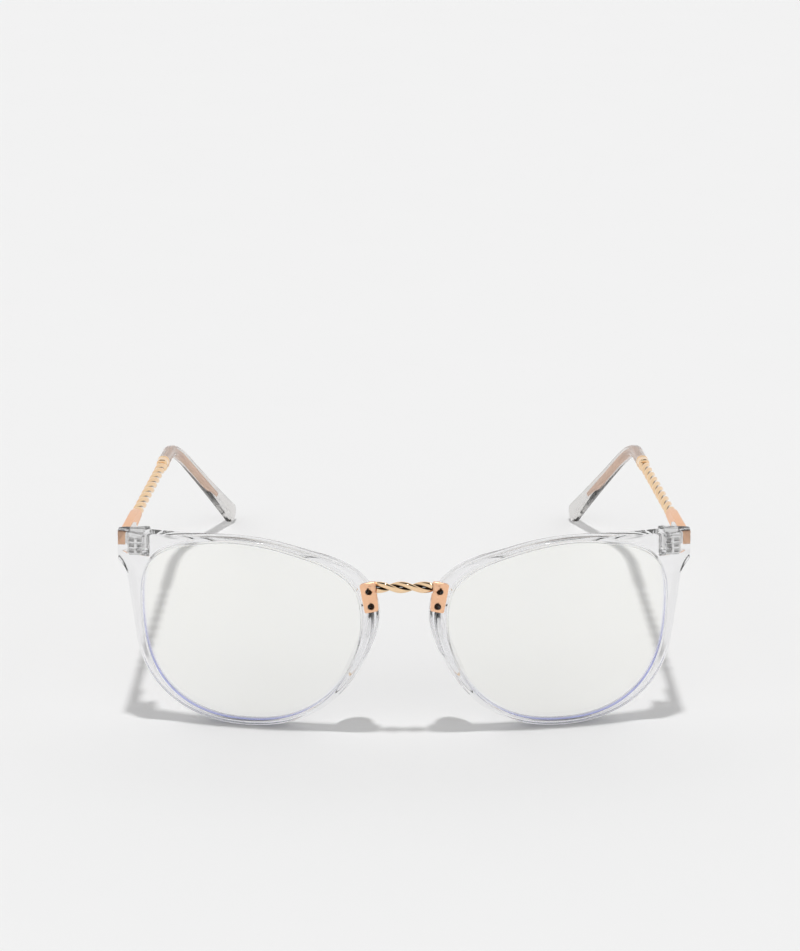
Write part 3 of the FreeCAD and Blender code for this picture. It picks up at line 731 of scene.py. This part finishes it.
@dataclass
class NosePad:
    """A clear pad: ellipses carried down the nose side, leaning back and outwards.

    Its reach and thickness swell as a half sine, so both ends close smoothly.
    """

    opening: Opening
    rim_depth: float = 3.8
    from_station: float = 17.25
    to_station: float = 13.9
    reach: float = 5.0
    half: float = 1.4
    splay: float = 24.0
    bite: float = 0.9

    def sheet(self) -> np.ndarray:
        """Ellipses from the top of the left pad to its foot."""
        knots = self.opening.knots
        t = (1 - np.cos(np.linspace(0.06, math.pi - 0.06, 70))) / 2
        station = self.from_station + (self.to_station - self.from_station) * t
        at = np.interp(station, np.arange(len(knots)), knots)
        spine = (self.opening.edge(at) + self.opening.outside(at)) / 2
        swell = np.sin(math.pi * t) ** 0.6
        lean = math.radians(self.splay)
        away = np.array([math.sin(lean), math.cos(lean)])
        side = np.array([-away[1], away[0]])
        long = (self.reach + self.bite) / 2 * swell
        middle = self.opening.frame.face(spine, self.rim_depth) - self.bite + long
        turn = np.linspace(0, 2 * math.pi, 40, endpoint=False)
        along = long[:, None] * np.cos(turn)[None]
        wide = (self.half * swell)[:, None] * np.sin(turn)[None]
        base = (long - self.bite * swell)[:, None] * away[0]
        u = spine[:, :1] + base + along * away[0] + wide * side[0]
        y = middle[:, None] + along * away[1] + wide * side[1]
        v = np.repeat(spine[:, 1:], len(turn), 1)
        return self.opening.frame.out(np.stack([u, v], -1), y)

    def build(self, side: Side, finish: bpy.types.Material) -> None:
        """The pad on one side, in place of its CAD node.

        Args:
            side: which pad.
            finish: its material.
        """
        piece = Skin(side.mirror(self.sheet())).build(side.node("clear_nose_pad"), finish)
        stand_in(piece, "front", side.node("nose_pad"))


# ---- wire and temples ----


@dataclass
class Frame3:
    """A base point with three axes: x to the side, y along, z up."""

    base: np.ndarray
    x: np.ndarray
    y: np.ndarray
    z: np.ndarray

    def out(self, local: np.ndarray) -> np.ndarray:
        """Local points in the frame that holds this one."""
        return self.base + local[..., :1] * self.x + local[..., 1:2] * self.y + local[..., 2:] * self.z


@dataclass
class Twist:
    """Two round wires laid round each other, right-handed.

    A wire's middle is (r cos a, s, -r sin a) with a rising evenly along s; its skin is a circle
    square to that line.
    """

    pitch: float = 11.2
    offset: float = 0.73
    radius: float = 0.7
    lead_in: float = 1.5
    # Reach from the twist's axis over which the painted groove shade fades out.
    groove: tuple[float, float] = (0.64, 0.88)

    def sheet(self, length: float, phase: float) -> np.ndarray:
        """One wire from 0 to length along y."""
        s = np.linspace(0, length, int(length * 4.5) + 12)
        turn = math.radians(phase) + 2 * math.pi * (s + self.lead_in) / self.pitch
        rate = 2 * math.pi / self.pitch
        centre = np.stack([self.offset * np.cos(turn), s, -self.offset * np.sin(turn)], -1)
        out = np.stack([np.cos(turn), 0 * s, -np.sin(turn)], -1)
        climb = self.offset * rate
        ahead = np.stack([-climb * np.sin(turn), 1 + 0 * s, -climb * np.cos(turn)], -1)
        ahead /= np.linalg.norm(ahead, axis=1, keepdims=True)
        across = np.cross(ahead, out)
        angle = np.linspace(0, 2 * math.pi, 28, endpoint=False)
        ring = out[:, None] * np.cos(angle)[:, None] + across[:, None] * np.sin(angle)[:, None]
        return centre[:, None] + ring * self.radius

    def mark_groove_shade(self, piece: bpy.types.Object, local: np.ndarray) -> None:
        """Note on a wire's mesh how deep each point lies in the groove between the two wires, the mask for
        the painted shade there.
        """
        reach = np.hypot(local[..., 0], local[..., 2])
        note(piece, "groove", 1 - smooth_step(reach, self.groove[0], self.groove[1]))


@dataclass
class Bridge:
    """The twisted bridge between the two plates."""

    twist: Twist
    span: float = 14.0
    set_back: float = 1.0
    height: float = 38.4

    def build(self, finish: bpy.types.Material) -> None:
        """Both wires, in place of their CAD nodes."""
        base = np.array([-self.span / 2, self.set_back, self.height])
        place = Frame3(base, np.array([0, -1.0, 0]), np.array([1.0, 0, 0]), np.array([0, 0, 1.0]))
        for phase, letter in ((0.0, "a"), (180.0, "b")):
            local = self.twist.sheet(self.span, phase)
            piece = Skin(place.out(local)).build(f"bridge_strand_{letter}", finish)
            self.twist.mark_groove_shade(piece, local)
            stand_in(piece, "front", f"bridge_wire_{letter}")


@dataclass
class Temple:
    """One temple: its line from the endpiece, the twist, and the clear tip bent over the ear."""

    side: Side
    twist: Twist
    start: tuple[float, float, float] = (69.77, 14.9419, 46.19)
    slope: float = 7.2
    converge: float = 1.9
    bar_length: float = 23.5
    twist_length: float = 55.0
    collar_length: float = 5.0
    collar_size: tuple[float, float] = (3.3, 3.7)
    collar_dome: float = 0.09
    collar_end: float = 0.04
    collar_ring: tuple[float, float] = (0.78, 0.2)
    collar_neck: tuple[float, float] = (0.6, 0.2)
    core_size: tuple[float, float] = (0.7, 1.15)
    core_stop: float = 13.5
    in_collar: float = 1.0
    ear_point: float = 104.0
    ear_radius: float = 24.0
    tip_slope: float = 46.2
    tip_inward: float = 29.6
    tip_width: float = 3.0
    tip_heights: tuple[float, float, float] = (3.4, 4.3, 6.4)

    def line(self, mirrored: bool) -> Frame3:
        """The temple's frame: on its own side where mirrored, and else always the left one."""
        sign = self.side.value if mirrored else 1
        c, s = math.radians(self.converge), math.radians(self.slope)
        base = np.array([self.start[0] * sign, self.start[1], self.start[2]])
        x = np.array([math.cos(c), math.sin(c) * sign, 0.0])
        y = np.array([-math.sin(c) * math.cos(s) * sign, math.cos(c) * math.cos(s), -math.sin(s)])
        return Frame3(base, x, y, np.cross(x, y))

    def strands(self, finish: bpy.types.Material) -> None:
        """The two wires between the bar and the collar; both sides are right-handed."""
        place = self.line(True)
        for phase, letter in ((0.0, "a"), (180.0, "b")):
            local = self.twist.sheet(self.twist_length + self.in_collar, phase)
            local[..., 1] += self.bar_length
            name = f"temple_strand_{letter}"
            piece = Skin(place.out(local)).build(self.side.node(name), finish)
            self.twist.mark_groove_shade(piece, local)
            node = self.side.node(f"temple_wire_{letter}")
            stand_in(piece, self.side.temple, node)

    def collar(self, finish: bpy.types.Material) -> None:
        """The solid sleeve between twist and tip: rounded oblongs, domed in front, ringed behind.

        Its radius share rises as a quarter circle over the front, dips by a shallow cosine
        behind the middle, and swells again as a half sine for the ring at its far end.
        """
        place = self.line(False)
        first = (1 - np.cos(np.linspace(0.05, math.pi / 2, 12))) * self.collar_dome
        last = 1 - (1 - np.sin(np.linspace(0.3, math.pi / 2, 8))) * self.collar_end
        t = np.concatenate([first, np.linspace(0.1, 0.96, 50), last])
        at_ring = np.clip((t - self.collar_ring[0]) / self.collar_ring[1], 0, 1)
        at_neck = np.clip((t - self.collar_neck[0]) / self.collar_neck[1], 0, 1)
        front = np.sqrt(np.clip(1 - (1 - np.clip(t / self.collar_dome, 0, 1)) ** 2, 0.02, 1))
        ring = np.sin(math.pi * at_ring) ** 0.7
        neck = 0.5 - 0.5 * np.cos(2 * math.pi * at_neck)
        share = (0.93 + 0.07 * ring - 0.05 * neck) * (0.62 + 0.38 * front)
        edge = oblong(2.6, 48) * np.array(self.collar_size) / 2
        along = self.bar_length + self.twist_length + t * self.collar_length
        across = share[:, None, None] * edge
        local = np.stack([across[..., 0], np.repeat(along[:, None], len(edge), 1), across[..., 1]], -1)
        piece = Skin(self.side.mirror(place.out(local))).build(self.side.node("ringed_collar"), finish)
        stand_in(piece, self.side.temple, self.side.node("temple_collar"))

    def tip_path(self) -> tuple[np.ndarray, np.ndarray, np.ndarray, np.ndarray, float]:
        """The left tip's line: straight on, round an arc, then straight down to the table.

        Returns:
            Points, side axes, up axes and distance past the bend, and the tail's run.
        """
        place = self.line(False)
        s, i = math.radians(self.tip_slope), math.radians(self.tip_inward)
        down = np.array([-math.sin(i) * math.cos(s), math.cos(i) * math.cos(s), -math.sin(s)])
        angle = math.acos(float(place.y @ down))
        run = self.ear_point - self.ear_radius * math.tan(angle / 2)
        toward = (down - place.y * math.cos(angle)) / math.sin(angle)
        axis = np.cross(place.y, down)
        axis /= np.linalg.norm(axis)
        bend = place.base + place.y * run

        def turned(vector: np.ndarray, by: np.ndarray) -> np.ndarray:
            """Rotation about the bend's axis: v cos + (axis x v) sin + axis (axis . v)(1 - cos)."""
            c, n = np.cos(by)[:, None], np.sin(by)[:, None]
            return vector * c + np.cross(axis, vector) * n + axis * float(axis @ vector) * (1 - c)

        first = np.linspace(self.bar_length + self.twist_length + self.collar_length, run, 14)[:-1]
        by = np.linspace(0, angle, 34)
        centre = bend + toward * self.ear_radius
        arc = centre + turned(bend - centre, by)
        radius = self.tip_heights[2] / 2
        tail = (arc[-1][2] - radius - 0.05) / math.sin(s)
        end = tail + radius * np.sin(np.linspace(0, 1.52, 16))[1:]
        last = np.concatenate([np.linspace(0, tail, 50)[1:], end])
        points = np.vstack([place.base + first[:, None] * place.y, arc, arc[-1] + last[:, None] * down])
        by_all = np.concatenate([0 * first, by, np.full(len(last), angle)])
        past = np.concatenate([0 * first, 0 * by, last])
        return points, turned(place.x, by_all), turned(place.z, by_all), past, tail

    def core(self, finish: bpy.types.Material) -> None:
        """The slim metal strip that shows through the tip and stops well before its end."""
        points, side, up, past, tail = self.tip_path()
        end = tail + self.tip_heights[2] / 2 - self.core_stop
        kept = past <= end
        edge = oblong(2.0, 24) * np.array(self.core_size) / 2
        skin = points[kept][:, None] + side[kept][:, None] * edge[:, :1]
        skin = skin + up[kept][:, None] * edge[:, 1:]
        piece = Skin(self.side.mirror(skin)).build(self.side.node("core_strip"), finish)
        stand_in(piece, self.side.temple, self.side.node("temple_core"))

    def tip(self, finish: bpy.types.Material) -> None:
        """The clear tip: rounded oblongs that grow taller, with a round end."""
        points, side, up, past, tail = self.tip_path()
        radius = self.tip_heights[2] / 2
        share = past / (tail + radius)
        h0, h1, h2 = self.tip_heights
        height = h0 * (1 - share) * (1 - 2 * share) + 4 * h1 * share * (1 - share)
        height = height + h2 * share * (2 * share - 1)
        over = np.maximum(past - tail, 0)
        height = np.minimum(height, 2 * np.sqrt(np.maximum(radius**2 - over**2, 0.02)))
        width = self.tip_width * (1 - 0.62 * (over / radius) ** 3)
        edge = oblong(2.9, 56) / 2
        skin = points[:, None] + side[:, None] * (width[:, None] * edge[:, 0])[..., None]
        skin = skin + up[:, None] * (height[:, None] * edge[:, 1])[..., None]
        piece = Skin(self.side.mirror(skin)).build(self.side.node("clear_ear_tip"), finish, 60.0)
        stand_in(piece, self.side.temple, self.side.node("temple_tip"))


# ---- studio ----


@dataclass
class Studio:
    """Pale table, a small light straight above, a soft dome round it, and the camera."""

    floor_colour: tuple[float, float, float] = (0.84, 0.84, 0.84)
    half_floor: float = 6.0
    key_strength: float = 1.44
    key_angle: float = 3.6
    ceiling_from: float = 0.79
    ceiling_to: float = 0.87
    ceiling_dark: float = 0.96
    eye: tuple[float, float, float] = (-2.521, -659.526, 287.164)
    turn: float = 0.142
    tilt: float = 20.466
    lens: float = 98.42

    def floor(self) -> None:
        """A large flat table top with a barely uneven matt finish."""
        mesh = bpy.data.meshes.new("table_top")
        half = self.half_floor
        corners = [(-half, -half, 0), (half, -half, 0), (half, half, 0), (-half, half, 0)]
        mesh.from_pydata(corners, [], [(0, 1, 2, 3)])
        made = bpy.data.objects.new("table_top", mesh)
        bpy.context.scene.collection.objects.link(made)
        material = bpy.data.materials.new("pale_table")
        shader = Shader(material)
        uneven = shader.cloud(shader.place(), 40.0)
        near = tuple(c * 1.01 for c in self.floor_colour)
        shader.surface({
            "Base Color": shader.blend(uneven, self.floor_colour, near),
            "Roughness": 0.9,
            "Specular IOR Level": 0.1,
        })
        mesh.materials.append(material)

    def dome(self) -> None:
        """Light from all round: pale walls below, and a dark ceiling round the small light.

        The light's strength is a ramp on the direction's height, cut off near the zenith, so
        that polished wire shows a dark band along its upper side.
        """
        world = bpy.data.worlds.new("studio")
        bpy.context.scene.world = world
        shader = Shader(world)
        way = shader.node("ShaderNodeTexCoord", {}, {}, "Generated")
        parts = shader.node("ShaderNodeSeparateXYZ", {}, {"Vector": way}, "Z")
        stops = [(0.0, (0.88,) * 3), (0.5, (0.86,) * 3), (1.0, (0.80,) * 3)]
        height = shader.node("ShaderNodeValToRGB", {"stops": stops}, {0: parts}, "Color")
        ceiling = shader.node("ShaderNodeMapRange", {"interpolation_type": "SMOOTHSTEP"},
                              {"Value": parts, "From Min": self.ceiling_from, "From Max": self.ceiling_to})
        strength = 1.0 - ceiling * self.ceiling_dark
        light = shader.node("ShaderNodeBackground", {}, {"Color": height, "Strength": strength})
        shader.node("ShaderNodeOutputWorld", {}, {"Surface": light})

    def key(self) -> None:
        """The small light straight overhead that draws the shadows."""
        lamp = bpy.data.lights.new("overhead", "SUN")
        lamp.energy = self.key_strength
        lamp.angle = math.radians(self.key_angle)
        made = bpy.data.objects.new("overhead", lamp)
        made.location = (0, 0, 1)
        bpy.context.scene.collection.objects.link(made)

    def camera(self) -> None:
        """The camera, looking down at the glasses from ahead."""
        data = bpy.data.cameras.new("view")
        data.lens = self.lens
        data.clip_start = 0.01
        made = bpy.data.objects.new("view", data)
        made.location = Vector(self.eye) * MM
        a, e = math.radians(self.turn), math.radians(self.tilt)
        aim = Vector((math.sin(a) * math.cos(e), math.cos(a) * math.cos(e), -math.sin(e)))
        made.rotation_mode = "QUATERNION"
        made.rotation_quaternion = aim.to_track_quat("-Z", "Y")
        bpy.context.scene.collection.objects.link(made)
        bpy.context.scene.camera = made

    def build(self) -> None:
        """Everything round the glasses."""
        self.floor()
        self.dome()
        self.key()
        self.camera()
        bpy.context.scene.view_settings.view_transform = "Standard"


# ---- the glasses ----


def main() -> None:
    """Build every piece in order, and dress what stays from the CAD."""
    logging.basicConfig(level=logging.INFO, format="%(message)s")
    finishes = Finishes()
    rim_clear, tip_clear, lens_clear = (f.material() for f in (finishes.rim, finishes.tip, finishes.lens))
    metals = (finishes.rope, finishes.satin, finishes.silver, finishes.dark, finishes.core)
    rope, satin, silver, dark, core = (f.material() for f in metals)
    opening = Opening(LensFrame())
    twist = Twist()
    for side in Side:
        Rim(opening).build(side, rim_clear)
        Lens(opening).build(side, lens_clear)
        NosePad(opening).build(side, rim_clear)
        temple = Temple(side, twist)
        temple.strands(rope)
        temple.collar(rope)
        temple.core(core)
        temple.tip(tip_clear)
        for node, name, body, slot, finish, edge in (
            ("bridge_plate", "face_plate", "front", "rose_gold_satin", satin, 0.0),
            ("temple_bar", "flat_bar", side.temple, "rose_gold_satin", satin, 0.05),
            ("front_hinge", "ribbed_anchor", "front", "hinge_metal", silver, 0.05),
            ("temple_hinge", "hinge_leaf", side.temple, "hinge_metal", silver, 0.07),
            ("bridge_screws", "plate_screws", "front", "dark_screw", dark, 0.0),
            ("hinge_screw", "axle_screw", "front", "hinge_metal", dark, 0.05),
        ):
            piece = worked(side.node(node), side.node(name), finish, edge)
            stand_in(piece, body, side.node(node))
        dress(side.node("hinge_rivets"), silver)
    Bridge(twist).build(rope)
    Studio().build()


if __name__ == "__main__":
    main()
